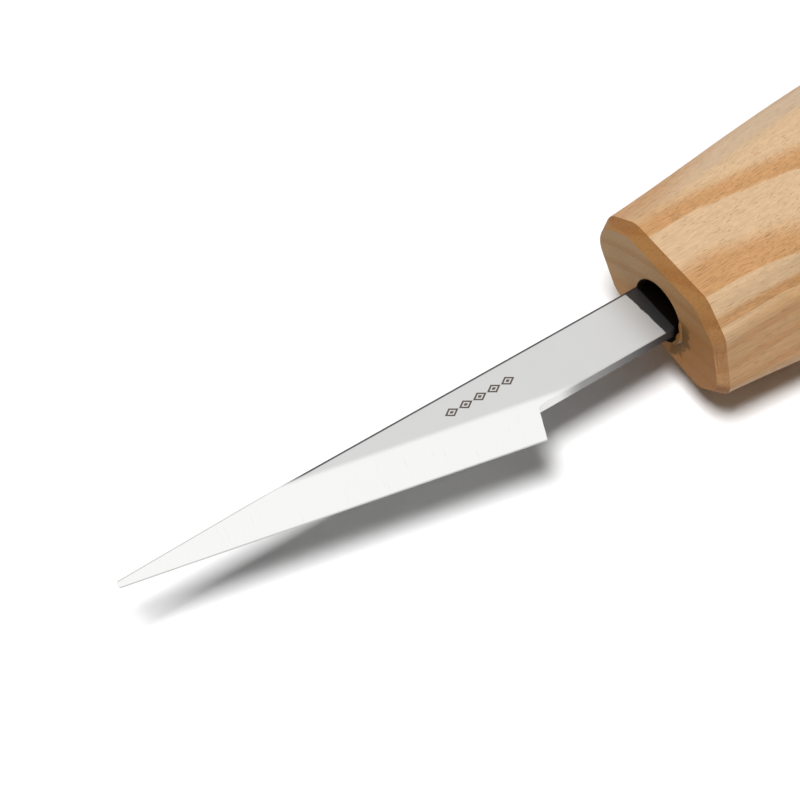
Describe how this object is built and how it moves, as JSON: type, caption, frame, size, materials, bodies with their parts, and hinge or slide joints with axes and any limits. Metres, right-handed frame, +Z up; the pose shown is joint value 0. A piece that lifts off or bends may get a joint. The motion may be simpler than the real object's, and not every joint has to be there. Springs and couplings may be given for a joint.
{
  "type": "chip carving knife",
  "caption": "Small woodcarving knife: a straight-edged, pointed steel blade with a notched heel and a narrow shank, glued into a faceted ash handle.",
  "frame": {"origin": "centre of the underside of the knife's box, as it lies on its side on the flat of its handle", "axes": "+X from the blade's point to the butt, +Y from the cutting edge to the spine, +Z up through the blade's flat"},
  "size_m": [0.202, 0.0347, 0.024],
  "materials": {
    "blade_steel": "satin ground flats, brighter cross-ground bevels, dark unpolished shoulder",
    "ash_wood": "sanded and lightly oiled",
    "cured_epoxy": "glossy amber"
  },
  "bodies": {
    "root": {"blade": "blade_steel", "handle": "ash_wood", "epoxy_bond": "cured_epoxy"}
  },
  "joints": []
}
